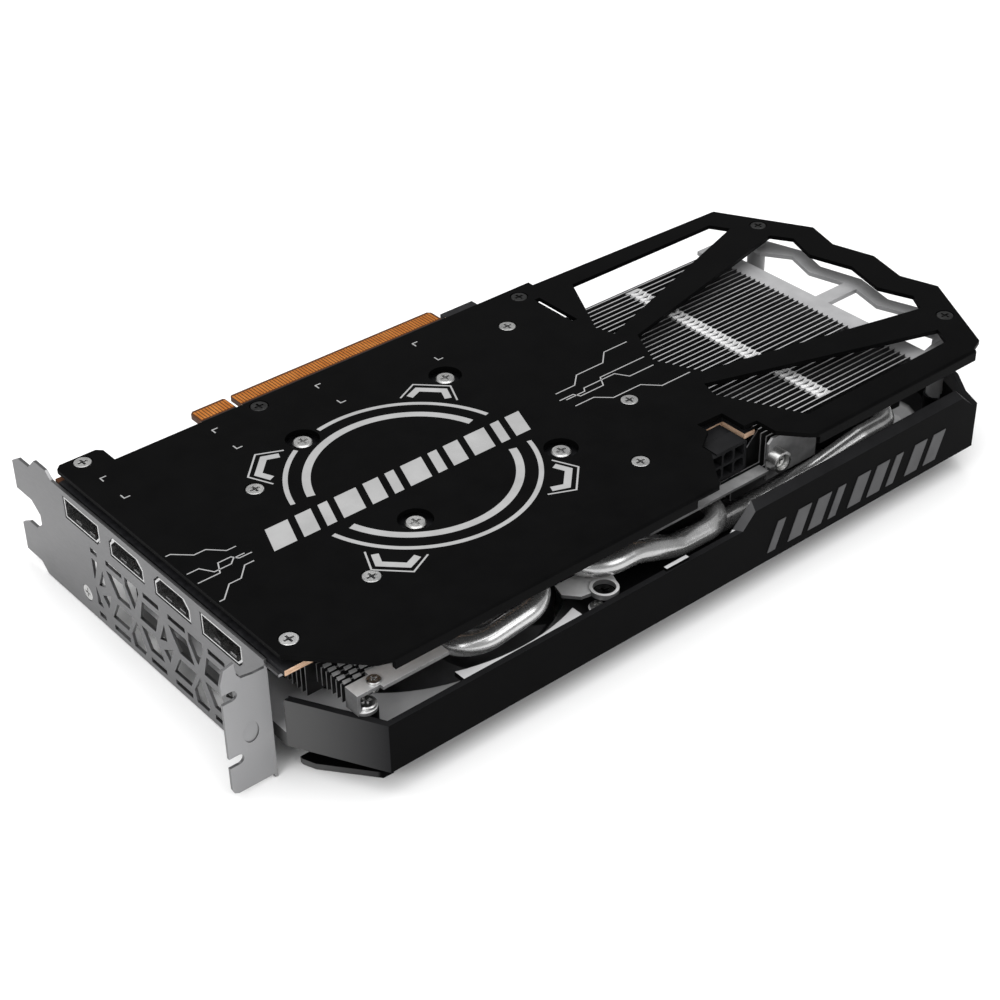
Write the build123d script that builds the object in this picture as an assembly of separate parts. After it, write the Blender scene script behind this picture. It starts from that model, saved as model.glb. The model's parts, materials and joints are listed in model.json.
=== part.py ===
"""Dual-fan graphics card: one STEP file for each sub-part, in millimetres.

Working axes: X runs from the outer face of the I/O bracket (0) to the tail,
Y from the power-connector edge to the edge connector, with 0 on the outer
face of the bracket's screw flange, and Z from the fan side (0) to the top
of the backplate. On export everything moves so that the origin is the
centre of the overall box, at the height of the fan side.
"""
import os
from math import cos, radians, sin

from build123d import *

# ---- overall -------------------------------------------------------------
CARD_END = 251.0          # tail of the backplate
CARD_TOP = 41.0           # top of the backplate
FRONT_Y = -25.0           # foremost face, the accent bars
MID_Y = 33.3              # mirror line of the tail, the shroud and the fans

# ---- I/O bracket, PCI Express form factor ---------------------------------
SHEET = 0.86              # bracket sheet metal
BRACKET_BOTTOM = 0.2
BRACKET_TOP = 37.25
BRACKET_END_Y = 121.0     # end of the two slot tabs
FLANGE_X = -12.2          # free edge of the screw flange
NOTCH_Z = (11.45, 31.25)  # screw notches, one slot pitch apart
NOTCH_WIDTH = 3.0
NOTCH_DEPTH = 4.2
VENT_PERIOD = 30.1
VENT_BAND = (12.0, 82.0)
PORT_Z = 31.9
PORTS = {"displayport_1": 84.3, "hdmi_1": 62.2, "hdmi_2": 40.6, "displayport_2": 18.5}
DP_WINDOW = (18.2, 7.2)
HDMI_WINDOW = (16.6, 7.0)
PORT_GAP = 0.35           # shell to bracket window
PORT_WALL = 0.45
PORT_FRONT = 0.15
PORT_DEPTH = 12.0
TONGUE_SETBACK = 4.8
BRACKET_SCREW = (87.4, 6.55)
BRACKET_SCREW_R = 2.4
BRACKET_SCREW_SINK = 0.6

# ---- circuit board ---------------------------------------------------------
PCB_TOP = 37.55
PCB_THICK = 1.6
PCB_BOTTOM = PCB_TOP - PCB_THICK
PCB_X = (1.2, 157.5)
PCB_FRONT_Y = -7.0
PCB_REAR_Y = 94.0
EAR_X = 15.2
EAR_Y = 98.4
FINGER_X = (45.8, 131.0)
FINGER_TIP_Y = 102.3
KEY_X = 58.38
KEY_WIDTH = 1.9
CONTACT_PITCH = 1.0
CONTACT_WIDTH = 0.7
CONTACT_Y = (96.9, 101.4)
CONTACT_THICK = 0.08
HOOK_X = (132.3, 144.5)
HOOK_Y = 98.7
RECESS_X = (130.5, 153.6)  # board recess round the power connector
RECESS_Y = 1.4

# ---- graphics chip, memory and power stage ----------------------------------
GPU = (83.65, 41.6)
SPRING_HALF = 24.65       # half the square of the four spring screws
SUBSTRATE = 35.0
SUBSTRATE_THICK = 1.2
DIE = (19.0, 10.0)
DIE_THICK = 0.8
MEMORY_AT = [(53.5, 32.0), (53.5, 51.0), (75.0, 73.0), (92.0, 73.0)]
MEMORY_SIZE = (12.0, 14.0, 1.1)
INDUCTOR_X = 122.0
INDUCTOR_Y = [10.0, 21.0, 32.0, 43.0, 54.0, 65.0]
INDUCTOR_SIZE = 8.0
INDUCTOR_HEIGHT = 5.0
MOSFET_X = 114.5
MOSFET_SIZE = (5.0, 6.0, 1.0)
CAPACITOR_X = (131.0, 145.5)
CAPACITOR_R = 3.15
CAPACITOR_HEIGHT = 7.0

# ---- eight-pin power connector ---------------------------------------------
PLUG_X = (133.8, 152.0)
PLUG_Y = (-9.5, 1.0)
PLUG_Z = (28.3, 37.4)
PLUG_ROW_Z = 33.0         # line between the two rows of cells
PLUG_LEDGE = (140.5, 151.0)
CELL_PITCH = 4.2
CELL_SIZE = 3.5
CELL_DEPTH = 8.0
PIN_SIZE = 0.9

# ---- backplate ---------------------------------------------------------------
PLATE_THICK = 1.3
PLATE_BOTTOM = CARD_TOP - PLATE_THICK
PLATE_LEFT = 1.6
PLATE_FRONT = -23.5
LIP_DROP = 3.55
LIP_THICK = 1.3
LIPS_X = [(21.3, 119.6), (165.5, 230.5)]
SILVER_SCREWS = [
    (8.6, 96.0), (36.0, 55.3), (36.2, 5.3), (6.8, -1.3),
    (139.2, 75.7), (138.5, 22.7), (120.0, -1.5),
]
DARK_SCREWS = [(59.7, 87.8), (153.0, 86.6)]
TAIL_SCREWS = [(239.2, 71.2), (239.2, -4.6)]
SCREW_HEAD_R = 2.6
SCREW_HEAD_H = 0.8
SCREW_SHANK_R = 1.25
SCREW_SINK = 0.1
SPRING_HOLE_R = 4.75
WAVE_OFFSETS = (-24.3, -13.8, 0.0, 13.8, 24.3)  # turns of the wavy tail edges, from MID_Y

# ---- cooler --------------------------------------------------------------------
PIPE_R = 3.0
PIPE_FIT = 0.05
FIN_THICK = 0.4
FIN_PITCH = 2.0
FIN_Y = (-12.0, 74.0)
FIN_X = (12.5, 220.5)
FIN_BOTTOM = 18.0
FIN_FRONT_BOTTOM = 22.5   # clear of the lowest heat pipe
FIN_TOP_BOARD = 28.1      # under the circuit board
FIN_TOP_TAIL = 35.9       # past the end of the board
FIN_STEP_X = 160.0
PLATE_RUN_Z = 28.2        # heat pipes under the cold plate
LOW_RUN_Z = 24.2
COLD_X = (46.5, 112.5)
COLD_Y = (12.0, 80.5)
COLD_BOTTOM = PLATE_RUN_Z + PIPE_R
COLD_LIP = ((48.0, 110.0), (-8.0, 13.0), (31.3, 32.3))
BAND_X = (184.7, 189.5)

# ---- shroud ----------------------------------------------------------------------
SHROUD_FRONT = -24.8
SHROUD_WALL = 1.8
NEAR_WALL_X = 4.1         # low wall at the bracket end, and where it starts
NEAR_WALL_Y = -0.5
SHROUD_EDGE_Z = 8.2       # top of the 45 degree underside chamfer
SHROUD_TOP = 22.95
RAISED_LOW = 21.0
RAISED_TOP = 27.4
RAISED_CREST = 29.3
RAISED_BEVEL = 2.6
WRAP_TOP = 25.5           # raised wall round the tail's front corner
WRAP_END_Y = -8.0
DECK_Z = (11.4, 12.6)
DECK_END_X = 214.0
LEDGE_Z = (21.4, 22.9)    # ledges inside the front wall, one beside each fan
LEDGE_HALF = 19.2
LEDGE_BACK = -19.0
LEDGE_ARC_R = 56.0
RAIL_X = (108.5, 116.5)   # small raised rail on the front wall
STRIP_Z = (28.2, 29.2)    # near frame: strip over the fins and its low foot
NEAR_FOOT_Z = (23.0, 23.9)
NEAR_FOOT = (17.5, -16.0)
NEAR_STRIP_SCREW = (20.5, -15.3)
MID_PLATE_Z = (22.2, 23.2)
MID_FOOT = (87.4, -20.7)  # small shroud screw beside the middle frame
MID_EYE = (91.45, -18.94)
MID_EYE_R = (3.05, 3.9)
TAIL_FRAME_Y = (-13.7, -12.9)
TAIL_SCREW = (158.5, 31.2)
BOSSES = [                # place, top, radius and hole radius of each boss
    (NEAR_FOOT, NEAR_FOOT_Z[0], 2.9, 1.6),
    (MID_FOOT, 20.2, 2.3, 1.35),
    (MID_EYE, 21.4, 2.45, 1.5),
]
TAIL_BOSS_Z = 14.0        # foot of the tail frame's posts
TAIL_BOSS_R = 3.6
TAIL_POST_R = 2.9
FAN_DUCT_R = 48.2
FAN_X = (61.0, 165.0)
TAIL_PLATE_Z = (33.4, 34.75)

# ---- fans --------------------------------------------------------------------------
BLADES = 11
BLADE_THICK = 1.3
BLADE_MID_Z = 6.0
HUB_R = 18.0
HUB_WALL = 1.5
HUB_Z = (1.6, 10.4)
BLADE_TIP_R = 46.4
SHAFT_R = 1.5
SHAFT_CLEARANCE = 0.04
BEARING_R = 3.0
TUBE_R = 4.2
TUBE_LOW = 5.4            # foot of the bearing and its tube
STATOR_R = 13.0
STATOR_Z = (6.0, 9.8)
BASE_Z = (11.0, DECK_Z[1])
BASE_R = 17.0

nodes = {}


def prism(points, bottom, top):
    """Upright prism on an outline in X and Y."""
    face = Pos(0, 0, bottom) * Polygon(*points, align=None)
    return extrude(face, top - bottom, dir=(0, 0, 1))


def block(x_range, y_range, z_range):
    """Box between pairs of limits."""
    size = [high - low for low, high in (x_range, y_range, z_range)]
    middle = [(high + low) / 2 for low, high in (x_range, y_range, z_range)]
    return Pos(*middle) * Box(*size)


def rod(x, y, bottom, top, radius):
    """Upright cylinder."""
    return Pos(x, y, (bottom + top) / 2) * Cylinder(radius, top - bottom)


def side_prism(points, y_near, y_far):
    """Prism on an outline in X and Z, between two values of Y."""
    face = Plane.XZ * Polygon(*points, align=None)
    return Pos(0, y_near, 0) * extrude(face, y_far - y_near, dir=(0, 1, 0))


def end_prism(points, x_near, x_far):
    """Prism on an outline in Y and Z, between two values of X."""
    face = Plane.YZ * Polygon(*points, align=None)
    return Pos(x_near, 0, 0) * extrude(face, x_far - x_near, dir=(1, 0, 0))


def mirrored(points):
    """The outline points reflected in the mirror line, in reverse order."""
    return [(x, 2 * MID_Y - y) for x, y in reversed(points)]


def group(shapes):
    """Separate solids held in one node."""
    return Compound(children=[solid for shape in shapes for solid in shape.solids()])


def screw(x, y, top, head_r, head_h, shank_r, tip):
    """Pan screw with a cross recess, head up, its shank ending at tip."""
    body = rod(x, y, top - head_h, top, head_r) + rod(x, y, tip, top - head_h, shank_r)
    edge = body.faces().sort_by(Axis.Z)[-1].edges()
    body = chamfer(edge, head_h * 0.3)
    recess = head_r * 1.1
    slot = head_r * 0.26
    depth = head_h * 0.6
    for long_x, long_y in ((recess, slot), (slot, recess)):
        body -= Pos(x, y, top - depth / 2) * Box(long_x, long_y, depth)
    return body


# ---- I/O bracket ----------------------------------------------------------------------


def vent_outlines():
    """One period of the vent lattice, in Y and Z from the period's start."""
    return [
        [(0.0, 1.95), (8.0, 1.95), (8.0, 3.55), (0.0, 3.55)],
        [(0.0, 23.25), (8.0, 23.25), (8.0, 24.85), (0.0, 24.85)],
        [(12.3, 1.95), (19.8, 1.95), (19.8, 3.55), (12.3, 3.55)],
        [(12.3, 23.25), (19.8, 23.25), (19.8, 24.85), (12.3, 24.85)],
        [(8.3, 21.25), (0.0, 21.25), (-2.8, 14.55), (4.0, 14.55)],
        [(-1.4, 24.65), (-7.7, 24.65), (-8.0, 22.75), (-4.9, 16.2), (-4.4, 16.2), (-1.2, 21.75)],
        [(-9.3, 21.25), (-17.3, 21.25), (-14.8, 14.55), (-7.3, 14.55)],
        [(-16.6, 13.3), (-19.6, 19.8), (-20.2, 14.6)],
        [(4.5, 12.25), (-3.3, 12.25), (0.2, 5.95), (8.0, 5.95)],
        [(-4.8, 11.9), (-1.2, 5.75), (-2.0, 2.2), (-7.2, 2.2), (-8.3, 4.2)],
        [(-7.2, 12.25), (-14.3, 12.25), (-17.4, 5.95), (-10.6, 5.95)],
        [(-17.8, 10.6), (-22.6, 13.2), (-20.3, 7.6)],
    ]


def hdmi_outline(width, height):
    """Outline of a port whose upper corners are cut, in Y and Z about its centre."""
    half_w = width / 2
    half_h = height / 2
    cut = 2.4
    return [
        (-half_w, -half_h), (half_w, -half_h), (half_w, half_h - cut),
        (half_w - cut, half_h), (cut - half_w, half_h), (-half_w, half_h - cut),
    ]


def dp_outline(width, height):
    """Outline of a port with one cut lower corner, in Y and Z about its centre."""
    half_w = width / 2
    half_h = height / 2
    cut = 1.8
    return [
        (-half_w, cut - half_h), (cut - half_w, -half_h), (half_w, -half_h),
        (half_w, half_h), (-half_w, half_h),
    ]


def port_prism(name, shrink, x_near, x_far):
    """Prism on a port's outline, drawn in from the bracket window by shrink."""
    is_hdmi = name.startswith("hdmi")
    window = HDMI_WINDOW if is_hdmi else DP_WINDOW
    outline = hdmi_outline if is_hdmi else dp_outline
    points = outline(window[0] - 2 * shrink, window[1] - 2 * shrink)
    return Pos(0, PORTS[name], PORT_Z) * end_prism(points, x_near, x_far)


def bracket_plate():
    """Two-slot bracket plate with its tabs, ports and vent lattice."""
    outline = [
        (0.0, BRACKET_BOTTOM), (110.0, BRACKET_BOTTOM), (113.0, 2.95), (BRACKET_END_Y, 2.95),
        (BRACKET_END_Y, 12.05), (116.5, 14.65), (112.3, 14.65), (109.0, 17.4), (109.0, 20.6),
        (113.0, 23.65), (BRACKET_END_Y, 23.65), (BRACKET_END_Y, 32.75), (117.0, 35.25),
        (111.5, 35.25), (107.5, 39.2), (101.5, 39.2), (99.0, BRACKET_TOP), (0.0, BRACKET_TOP),
    ]
    plate = end_prism(outline, 0, SHEET)
    for name in PORTS:
        plate -= port_prism(name, 0, -1, SHEET + 1)
    band = block((-1, SHEET + 1), VENT_BAND, (0, BRACKET_TOP))
    for period in range(4):
        start = 6.1 + period * VENT_PERIOD
        for points in vent_outlines():
            moved = [(start + y, z) for y, z in points]
            cutter = end_prism(moved, -0.5, SHEET + 0.5) & band
            if cutter is not None and cutter.solids():
                plate -= cutter
    return plate - bracket_screw_hole()


def bracket_screw_hole():
    """Sunk hole for the screw through the bracket plate."""
    y, z = BRACKET_SCREW
    shank = Pos(SHEET / 2, y, z) * Rot(0, 90, 0) * Cylinder(1.6, 2)
    recess = Rot(0, 90, 0) * Cylinder(BRACKET_SCREW_R + 0.05, 2 * BRACKET_SCREW_SINK)
    return shank + Pos(0, y, z) * recess


def bracket_flange():
    """Screw flange with two open notches and a pressed oval."""
    outline = [
        (SHEET, 1.25), (-10.4, 1.25), (-11.7, 1.85), (FLANGE_X, 3.15), (FLANGE_X, 36.25),
        (-11.0, 39.75), (-8.0, 40.45), (-7.6, 36.75), (-6.5, 35.25), (-3.0, 34.75),
        (SHEET, 34.75),
    ]
    flange = side_prism(outline, 0, SHEET)
    for z in NOTCH_Z:
        inner = FLANGE_X + NOTCH_DEPTH - NOTCH_WIDTH / 2
        flange -= block((FLANGE_X - 1, inner), (-1, 2), (z - NOTCH_WIDTH / 2, z + NOTCH_WIDTH / 2))
        flange -= Pos(inner, SHEET / 2, z) * Rot(90, 0, 0) * Cylinder(NOTCH_WIDTH / 2, 3)
    oval = Plane.XZ * (Pos(-5.3, 17.85) * Ellipse(2.2, 3.1))
    flange -= extrude(oval, 0.3, dir=(0, 1, 0))
    return flange


def make_io_bracket():
    """Bracket plate, flange and the two fixing tabs under the board."""
    tab_z = (PCB_BOTTOM - SHEET, PCB_BOTTOM)
    bracket = bracket_plate() + bracket_flange()
    for y_range, reach in (((-5.5, 4.5), 12.0), ((94.4, 98.4), 13.0)):
        bracket += block((SHEET / 2, reach), y_range, tab_z)
    for x, y in (SILVER_SCREWS[0], SILVER_SCREWS[3]):
        bracket -= rod(x, y, tab_z[0] - 1, tab_z[1] + 1, SCREW_SHANK_R + 0.1)
    return bracket


def make_bracket_screw():
    """Screw sunk flush in the bracket plate."""
    turn = Pos(0, *BRACKET_SCREW) * Rot(0, -90, 0)
    return turn * screw(0, 0, -0.05, BRACKET_SCREW_R, 0.5, 1.5, -4.5)


def make_port_shell(name):
    """Sheet-metal shell of one display port."""
    back = PORT_FRONT + PORT_DEPTH
    outer = port_prism(name, PORT_GAP, PORT_FRONT, back)
    inner = port_prism(name, PORT_GAP + PORT_WALL, PORT_FRONT - 1, back - 1.2)
    return outer - inner


def make_port_tongue(name):
    """Contact tongue inside one display port."""
    width = 11.5 if name.startswith("hdmi") else 13.6
    front = PORT_FRONT + TONGUE_SETBACK
    back = PORT_FRONT + PORT_DEPTH - 1.2
    y = PORTS[name]
    z = PORT_Z + 0.2
    return block((front, back), (y - width / 2, y + width / 2), (z - 0.6, z + 0.6))


# ---- circuit board -----------------------------------------------------------------------


def board_outline():
    """Outline of the circuit board with its edge connector and recesses."""
    key_low = KEY_X - KEY_WIDTH / 2
    key_high = KEY_X + KEY_WIDTH / 2
    return [
        (PCB_X[0], PCB_FRONT_Y), (RECESS_X[0], PCB_FRONT_Y), (RECESS_X[0], RECESS_Y),
        (RECESS_X[1], RECESS_Y), (RECESS_X[1], PCB_FRONT_Y), (PCB_X[1], PCB_FRONT_Y),
        (PCB_X[1], PCB_REAR_Y), (HOOK_X[1], PCB_REAR_Y), (HOOK_X[1], HOOK_Y),
        (HOOK_X[0], HOOK_Y), (HOOK_X[0], PCB_REAR_Y - 1), (FINGER_X[1], PCB_REAR_Y - 1),
        (FINGER_X[1], FINGER_TIP_Y - 1), (FINGER_X[1] - 1, FINGER_TIP_Y),
        (key_high + 0.5, FINGER_TIP_Y), (key_high, FINGER_TIP_Y - 0.5), (key_high, 95.0),
        (key_low, 95.0), (key_low, FINGER_TIP_Y - 0.5), (key_low - 0.5, FINGER_TIP_Y),
        (FINGER_X[0] + 1, FINGER_TIP_Y), (FINGER_X[0], FINGER_TIP_Y - 1),
        (FINGER_X[0], PCB_REAR_Y), (EAR_X, PCB_REAR_Y), (EAR_X, EAR_Y), (PCB_X[0], EAR_Y),
    ]


def spring_points():
    """Places of the four spring screws round the graphics chip."""
    return [
        (GPU[0] + side * SPRING_HALF, GPU[1] + end * SPRING_HALF)
        for side in (-1, 1)
        for end in (-1, 1)
    ]


def make_pcb():
    """Circuit board."""
    board = prism(board_outline(), PCB_BOTTOM, PCB_TOP)
    for x, y in SILVER_SCREWS + DARK_SCREWS:
        board -= rod(x, y, PCB_BOTTOM - 1, PCB_TOP + 1, SCREW_SHANK_R + 0.15)
    for x, y in spring_points():
        board -= rod(x, y, PCB_BOTTOM - 1, PCB_TOP + 1, 2.0)
    return board


def make_edge_contacts():
    """Gold contacts on both faces of the edge connector."""
    pads = []
    count = int(FINGER_X[1] - FINGER_X[0]) - 1
    for index in range(count):
        x = FINGER_X[0] + 1.05 + index * CONTACT_PITCH
        if abs(x - KEY_X) < KEY_WIDTH / 2 + CONTACT_WIDTH / 2:
            continue
        across = (x - CONTACT_WIDTH / 2, x + CONTACT_WIDTH / 2)
        pads.append(block(across, CONTACT_Y, (PCB_TOP, PCB_TOP + CONTACT_THICK)))
        pads.append(block(across, CONTACT_Y, (PCB_BOTTOM - CONTACT_THICK, PCB_BOTTOM)))
    return group(pads)


def under_board(x, y, width, length, height):
    """Chip of a given size on the board's underside, centred on x and y."""
    x_range = (x - width / 2, x + width / 2)
    y_range = (y - length / 2, y + length / 2)
    return block(x_range, y_range, (PCB_BOTTOM - height, PCB_BOTTOM))


def make_gpu_substrate():
    """Carrier of the graphics chip."""
    return under_board(*GPU, SUBSTRATE, SUBSTRATE, SUBSTRATE_THICK)


def make_gpu_die():
    """Bare silicon, turned flat side to the cold plate."""
    return Pos(0, 0, -SUBSTRATE_THICK) * under_board(*GPU, *DIE, DIE_THICK)


def make_memory_chips():
    """Four memory packages."""
    return group([under_board(x, y, *MEMORY_SIZE) for x, y in MEMORY_AT])


def make_thermal_pads():
    """Pads between the memory packages and the cold plate."""
    top = PCB_BOTTOM - MEMORY_SIZE[2]
    bottom = PCB_BOTTOM - SUBSTRATE_THICK - DIE_THICK
    pads = []
    for x, y in MEMORY_AT:
        pads.append(block((x - 5.5, x + 5.5), (y - 6.5, y + 6.5), (bottom, top)))
    return group(pads)


def make_inductors():
    """Power-stage inductors, each a chamfered block."""
    pieces = []
    for y in INDUCTOR_Y:
        choke = under_board(INDUCTOR_X, y, INDUCTOR_SIZE, INDUCTOR_SIZE, INDUCTOR_HEIGHT)
        pieces.append(chamfer(choke.edges().filter_by(Axis.Z), 1.0))
    return group(pieces)


def make_mosfets():
    """Power-stage transistors in one row."""
    return group([under_board(MOSFET_X, y, *MOSFET_SIZE) for y in INDUCTOR_Y])


def make_capacitors():
    """Polymer capacitors in two rows."""
    bottom = PCB_BOTTOM - CAPACITOR_HEIGHT
    cans = []
    for x in CAPACITOR_X:
        for y in INDUCTOR_Y:
            can = rod(x, y + 3.0, bottom, PCB_BOTTOM, CAPACITOR_R)
            cans.append(fillet(can.faces().sort_by(Axis.Z)[0].edges(), 0.6))
    return group(cans)


def make_fan_header():
    """Four-pin header for the fan leads."""
    shell = under_board(151.0, 60.0, 4.6, 10.4, 5.0)
    shell -= under_board(151.0, 60.0, 3.0, 8.8, 5.5) & block((0, 200), (0, 100), (0, 34.2))
    return shell


def make_power_connector():
    """Eight-cell power socket that opens towards the front."""
    housing = block(PLUG_X, PLUG_Y, PLUG_Z)
    for index, (x, z) in enumerate(cell_places()):
        cell = Pos(x, PLUG_Y[0] + CELL_DEPTH / 2 - 0.5, z) * Box(CELL_SIZE, CELL_DEPTH, CELL_SIZE)
        if index in (1, 2, 5, 6):
            cell = chamfer(cell.edges().filter_by(Axis.Y), 0.7)
        housing -= cell
    ledge = block(PLUG_LEDGE, (PLUG_Y[0], PLUG_Y[0] + 5.5), (PLUG_Z[1] - 0.1, PLUG_Z[1] + 0.5))
    return housing + ledge


def cell_places():
    """Centres in X and Z of the power socket's cells, four columns of two."""
    places = []
    for column in range(4):
        for row in range(2):
            x = sum(PLUG_X) / 2 + (column - 1.5) * CELL_PITCH
            places.append((x, PLUG_ROW_Z + (row - 0.5) * CELL_PITCH))
    return places


def make_power_pins():
    """Eight pins inside the power socket."""
    front = PLUG_Y[0] + 3.0
    back = PLUG_Y[0] + CELL_DEPTH - 0.5
    pin = Box(PIN_SIZE, back - front, PIN_SIZE)
    return group([Pos(x, (front + back) / 2, z) * pin for x, z in cell_places()])


# ---- backplate -----------------------------------------------------------------------------


def plate_outline():
    """Outer edge of the backplate."""
    tail_front = [(228.0, PLATE_FRONT), (235.2, -20.6), (CARD_END, 8.0), (247.35, 19.7)]
    front = [
        (PLATE_LEFT, -5.2), (17.3, -22.0), (21.2, PLATE_FRONT), (127.4, PLATE_FRONT),
        (136.8, -11.0), (136.8, -7.5), (143.4, -3.0), (143.4, 1.2), (152.5, 0.8),
        (152.5, -7.6), (157.0, -8.0), (157.0, -15.0), (163.0, -22.0), (165.0, PLATE_FRONT),
    ]
    ear = [(160.7, 89.2), (160.7, 91.3), (15.7, 91.3), (15.7, 97.2), (14.2, 98.7), (3.1, 98.7)]
    rear = [(CARD_END, MID_Y)] + mirrored(tail_front)[:-1]
    return front + tail_front + rear + ear + [(PLATE_LEFT, 97.2)]


def side_window():
    """Window beside the tail's central window, on the edge-connector side."""
    return [(169.8, 81.5), (157.8, 57.8), (159.6, 51.7), (231.0, 75.4), (227.6, 81.3)]


def wave(low, high):
    """Zigzag along the tail between two values of X, over three teeth."""
    teeth = []
    for index, offset_y in enumerate(WAVE_OFFSETS):
        teeth.append((high if index % 2 == 0 else low, MID_Y + offset_y))
    return teeth


def central_window():
    """Central window of the tail."""
    left = [(237.0, 63.9), (163.9, 46.6), (157.8, MID_Y), (163.9, 20.0), (237.0, 2.7)]
    return left + wave(237.0, 240.9)


def make_backplate():
    """Backplate with its rolled lips, windows and screw holes."""
    plate = prism(plate_outline(), PLATE_BOTTOM, CARD_TOP)
    for x_range in LIPS_X:
        lip = block(x_range, (PLATE_FRONT, PLATE_FRONT + LIP_THICK), (CARD_TOP - LIP_DROP, CARD_TOP))
        plate += lip
    rolled = plate.edges().filter_by(Axis.X).filter_by_position(Axis.Y, FRONT_Y, PLATE_FRONT + 0.01)
    plate = fillet(rolled.group_by(Axis.Z)[-1], 0.9)
    plate -= prism(side_window(), PLATE_BOTTOM - 1, CARD_TOP + 1)
    plate -= prism(mirrored(side_window()), PLATE_BOTTOM - 1, CARD_TOP + 1)
    plate -= prism(central_window(), PLATE_BOTTOM - 1, CARD_TOP + 1)
    plate -= block((155.1, 157.1), (65.0, 82.0), (PLATE_BOTTOM - 1, CARD_TOP + 1))
    for x, y in SILVER_SCREWS + DARK_SCREWS + TAIL_SCREWS:
        plate -= rod(x, y, PLATE_BOTTOM - 1, CARD_TOP + 1, SCREW_SHANK_R + 0.1)
        plate -= rod(x, y, CARD_TOP - SCREW_HEAD_H - SCREW_SINK, CARD_TOP + 1, SCREW_HEAD_R + 0.1)
    for x, y in spring_points():
        plate -= rod(x, y, PLATE_BOTTOM - 1, CARD_TOP + 1, SPRING_HOLE_R)
    return plate


def plate_screws(points, tip):
    """Screws sunk in the backplate, with their shanks ending at tip."""
    top = CARD_TOP - SCREW_SINK
    return group(
        [screw(x, y, top, SCREW_HEAD_R, SCREW_HEAD_H, SCREW_SHANK_R, tip) for x, y in points]
    )


def make_standoffs():
    """Threaded spacers between the board and the backplate."""
    spacers = []
    for x, y in SILVER_SCREWS + DARK_SCREWS:
        outer = rod(x, y, PCB_TOP, PLATE_BOTTOM, 2.4)
        spacers.append(outer - rod(x, y, PCB_TOP - 1, PLATE_BOTTOM + 1, SCREW_SHANK_R + 0.05))
    return group(spacers)


def make_gpu_spring_screws():
    """Four screws that pull the cold plate onto the chip."""
    tip = COLD_BOTTOM + 1.0
    return group([screw(x, y, 40.3, 2.8, 1.3, 1.5, tip) for x, y in spring_points()])


def make_gpu_springs():
    """Spring rings under the heads of the four screws."""
    rings = []
    for x, y in spring_points():
        for z in (PCB_TOP + 0.35, PCB_TOP + 1.05):
            rings.append(Pos(x, y, z) * Torus(2.15, 0.33))
    return group(rings)


# ---- cooler -----------------------------------------------------------------------------------


def pipe_routes():
    """Bend radius and corner points of each of the four heat pipes."""
    rear = 70.0
    front = -17.4
    inner = -11.2
    return {
        "heat_pipe_1": (10.0, [
            (46, rear, LOW_RUN_Z), (46, front, LOW_RUN_Z),
            (76, front, PLATE_RUN_Z), (76, rear, PLATE_RUN_Z),
        ]),
        "heat_pipe_2": (7.5, [
            (53, rear, LOW_RUN_Z), (53, -10.4, LOW_RUN_Z),
            (69, -10.4, PLATE_RUN_Z), (69, rear, PLATE_RUN_Z),
        ]),
        "heat_pipe_3": (10.0, [
            (88, rear, PLATE_RUN_Z), (88, front, PLATE_RUN_Z), (103, front, 28.0),
            (118.5, front, 22.5), (139, front, 22.3), (139, rear, 22.3),
        ]),
        "heat_pipe_4": (7.0, [
            (97, rear, PLATE_RUN_Z), (97, inner, PLATE_RUN_Z), (106, inner, 26.4),
            (122, inner, 17.4), (134, inner, 16.2), (152, inner, 16.2), (172, -17.2, 23.2),
            (190, front, 26.2), (204, front, 26.4), (204, rear + 4, 26.4),
        ]),
    }


def make_heat_pipe(bend, points):
    """Round heat pipe along straight runs joined by arcs."""
    path = FilletPolyline(*points, radius=bend)
    start = Plane(origin=path @ 0, z_dir=path % 0)
    return sweep(start * Circle(PIPE_R), path=path)


def fin_holes():
    """Places in X and Z where the heat pipes cross the fins."""
    ends = []
    for _, points in pipe_routes().values():
        ends += [(points[0][0], points[0][2]), (points[-1][0], points[-1][2])]
    return ends


def fin(points, y):
    """One fin of a given outline in X and Z, pierced by the heat pipes."""
    face = Polygon(*points, align=None)
    for x, z in fin_holes():
        face -= Pos(x, z) * Circle(PIPE_R + PIPE_FIT)
    return Pos(0, y - FIN_THICK / 2, 0) * extrude(Plane.XZ * face, FIN_THICK, dir=(0, 1, 0))


def make_fin_stack():
    """Fins along X, full length except where the pipes leave at the front."""
    full = [
        (FIN_X[0], FIN_BOTTOM), (FIN_X[1], FIN_BOTTOM), (FIN_X[1], FIN_TOP_TAIL),
        (FIN_STEP_X, FIN_TOP_TAIL), (FIN_STEP_X, FIN_TOP_BOARD), (FIN_X[0], FIN_TOP_BOARD),
    ]
    near = [
        (14.6, FIN_FRONT_BOTTOM), (38, FIN_FRONT_BOTTOM), (38, FIN_TOP_BOARD),
        (14.6, FIN_TOP_BOARD),
    ]
    far = [
        (140, FIN_BOTTOM), (FIN_X[1], FIN_BOTTOM), (FIN_X[1], FIN_TOP_TAIL),
        (FIN_STEP_X, FIN_TOP_TAIL), (152, FIN_TOP_BOARD), (152, 26.5), (140, 26.5),
    ]
    far_front = [
        (144, FIN_FRONT_BOTTOM), (177, FIN_FRONT_BOTTOM), (177, 30.5), (FIN_X[1], 30.5),
        (FIN_X[1], FIN_TOP_TAIL), (159, FIN_TOP_TAIL), (159, 26.5), (144, 26.5),
    ]
    fins = []
    for index in range(int((FIN_Y[1] - FIN_Y[0]) / FIN_PITCH) + 1):
        y = FIN_Y[0] + index * FIN_PITCH
        if y >= 2:
            fins.append(fin(full, y))
        else:
            fins.append(fin(near, y))
            fins.append(fin(far if y > -7 else far_front, y))
    return group(fins)


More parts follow.
